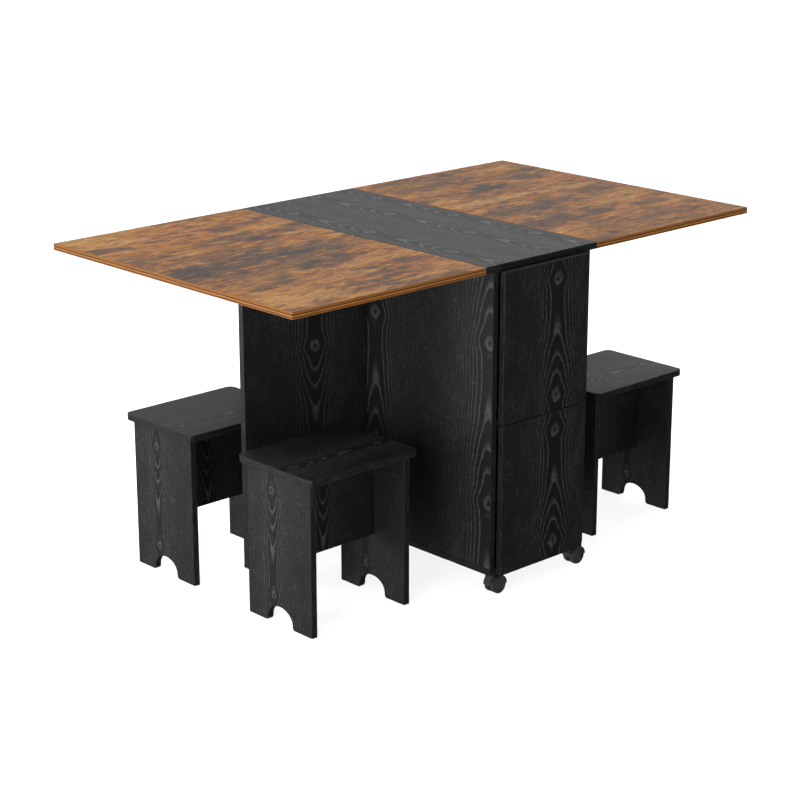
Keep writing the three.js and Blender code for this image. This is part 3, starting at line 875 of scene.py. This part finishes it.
def casterHood():
    facts = caster
    mesh = bmesh.new()
    inner, outer = facts["hood"]
    wide, web, lip, steps = (facts[key] for key in ("width", "web", "hoodLip", "steps"))
    shell = [
        (inner, -wide + lip), (inner + lip, -wide), (outer - lip, -wide), (outer, -wide + lip),
        (outer, wide - lip), (outer - lip, wide), (inner + lip, wide), (inner, wide - lip)]
    half = axle @ Matrix.Rotation(math.pi, 4, "Z")
    revolve(mesh, shell, half, steps // 2, 0, closed=True, sweep=math.pi)
    start, end = facts["webInner"], inner + facts["webOverlap"]
    blade = [(start, -web), (end, -web), (end, web), (start, web)]
    revolve(mesh, blade, half, steps // 2, 0, closed=True, sweep=math.pi)
    hub = rod(facts["hub"], -web, web, facts["hubChamfer"], facts["hole"])
    revolve(mesh, hub, axle, steps, 0, closed=True)
    revolve(mesh, facts["stem"], Matrix.Identity(4), facts["stemSteps"], 1)
    # the collar's foot follows the hood's curve, so that it stays clear of the wheels
    before = set(mesh.verts)
    low, top = facts["collarLow"], facts["top"]
    made = bmesh.ops.create_cone(
        mesh, cap_ends=False, segments=steps, radius1=facts["collar"], radius2=facts["collar"],
        depth=top - low)["verts"]
    bmesh.ops.translate(mesh, vec=(0, 0, (top + low) / 2), verts=made)
    rims = [e for e in mesh.edges if e.is_boundary and e.verts[0] not in before]
    foot = [e for e in rims if e.verts[0].co.z < (top + low) / 2]
    head = [e for e in rims if e not in foot]
    for vert in {v for e in foot for v in e.verts}:
        reach = (inner + outer) ** 2 / 4 - (vert.co.x - facts["trail"]) ** 2
        if reach > 0:
            vert.co.z = max(vert.co.z, facts["wheel"] + math.sqrt(reach))
    lid = bmesh.ops.holes_fill(mesh, edges=head, sides=0)["faces"]
    bmesh.ops.inset_region(mesh, faces=lid, thickness=facts["collarRim"], depth=0.0)
    bmesh.ops.translate(
        mesh, vec=(0, 0, -facts["collarRim"]), verts=list({v for e in head for v in e.verts}))
    for face in mesh.faces:
        face.smooth = True
    creaseEdges(mesh)
    return mesh


def casterWheels():
    half = caster["wheelOutline"]
    mesh = bmesh.new()
    outline = [(radius, -along) for radius, along in reversed(half)] + half
    revolve(mesh, outline, axle, caster["steps"], 0)
    creaseEdges(mesh)
    return mesh


for name in [n for n in frame["nodes"] if n.startswith("caster_") and n.endswith("_hood")]:
    word = name[len("caster_"):-len("_hood")]
    low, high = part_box(name)
    place = Matrix.Translation((high.x - caster["trail"] - caster["hood"][1], (low.y + high.y) / 2, 0))
    for part, make, materials, slot in (
            ("hood", casterHood, [hoodPlastic, screwSteel], "caster_hood"),
            ("wheels", casterWheels, [wheelPlastic], "caster_wheel")):
        mesh = make()
        bmesh.ops.transform(mesh, matrix=place, verts=mesh.verts)
        finishPiece(f"caster_{word}_{part}_shape", mesh, f"caster_{word}_{part}", materials)
print("casters made")

# the floor is pale, and large enough to have no edge in view. The sky is bright behind the
# table and dimmer before it; a spread is a direction's share of an axis, from and to
stage = {
    "floorHalf": 40.0,
    "floorColour": (0.84, 0.84, 0.84, 1),
    "floorRough": 0.9,
    "floorFill": 3.2,
    "frontSky": 0.14,
    "backSky": 0.80,
    "backSpread": (-0.6, 0.5),
    "rightSky": 0.42,
    "rightSpread": (0.58, 0.80),
    "horizon": (-0.02, 0.02),
    "lowSky": 0.04,
    "lowLeftSky": 0.50,
    "leftSpread": (-0.25, -0.95),
}
mesh = bmesh.new()
bmesh.ops.create_grid(mesh, x_segments=1, y_segments=1, size=stage["floorHalf"])
floor = bpy.data.objects.new("floor", bpy.data.meshes.new("floor"))
mesh.to_mesh(floor.data)
mesh.free()
paint = PaintDesk("floorPaint")
paint.shader.inputs["Base Color"].default_value = stage["floorColour"]
paint.shader.inputs["Roughness"].default_value = stage["floorRough"]
paint.shader.inputs["Specular IOR Level"].default_value = 0.0
floor.data.materials.append(paint.material)
scene.collection.objects.link(floor)
floor.visible_glossy = False

world = bpy.data.worlds.new("studio")
world.use_nodes = True
sky = NodeDesk(world.node_tree)
x, y, z = sky.axes("Generated")
backward = sky.spread(y, *stage["backSpread"], stage["frontSky"], stage["backSky"])
rightward = sky.spread(x, *stage["rightSpread"], 0.0, stage["rightSky"], False)
above = sky.spread(z, *stage["horizon"], stage["lowSky"], 1.0, False)
# below the horizon it is dark but for the left side
leftward = sky.spread(x, *stage["leftSpread"], 0.0, stage["lowLeftSky"])
below = sky.spread(z, *stage["horizon"], 1.0, 0.0, False)
strength = sky.plus(sky.times(sky.plus(rightward, backward), above), sky.times(leftward, below))
background = sky.nodes["Background"]
background.inputs["Color"].default_value = (1, 1, 1, 1)
sky.feed(background.inputs["Strength"], strength)
scene.world = world

softBoxes = {
    "behindLeft": {"place": (-3.4, 2.6, 0.75), "aim": (-0.5, -0.2, 0.25), "size": 1.9, "power": 62.0},
    "frontLeft": {"place": (-3.6, -1.3, 0.85), "aim": (-0.1, -0.1, 0.4), "size": 1.8, "power": 60.0},
    "overhead": {"place": (-0.6, 0.6, 3.6), "aim": (0, 0, 0.7), "size": 2.6, "power": 80.0},
}
for name, facts in softBoxes.items():
    lamp = bpy.data.lights.new(name, "AREA")
    lamp.energy = facts["power"]
    lamp.size = facts["size"]
    box = bpy.data.objects.new(name, lamp)
    box.location = facts["place"]
    aim = Vector(facts["aim"]) - Vector(facts["place"])
    box.rotation_euler = aim.to_track_quat("-Z", "Y").to_euler()
    scene.collection.objects.link(box)

# a soft light for the floor alone keeps it pale under the table
floorLamp = bpy.data.lights.new("floorFill", "SUN")
floorLamp.energy = stage["floorFill"]
floorLamp.use_shadow = False
floorFill = bpy.data.objects.new("floorFill", floorLamp)
floorFill.location = (0, 0, 4)
scene.collection.objects.link(floorFill)
floorOnly = bpy.data.collections.new("floorOnly")
floorOnly.objects.link(floor)
floorFill.light_linking.receiver_collection = floorOnly
print("floor and light set")
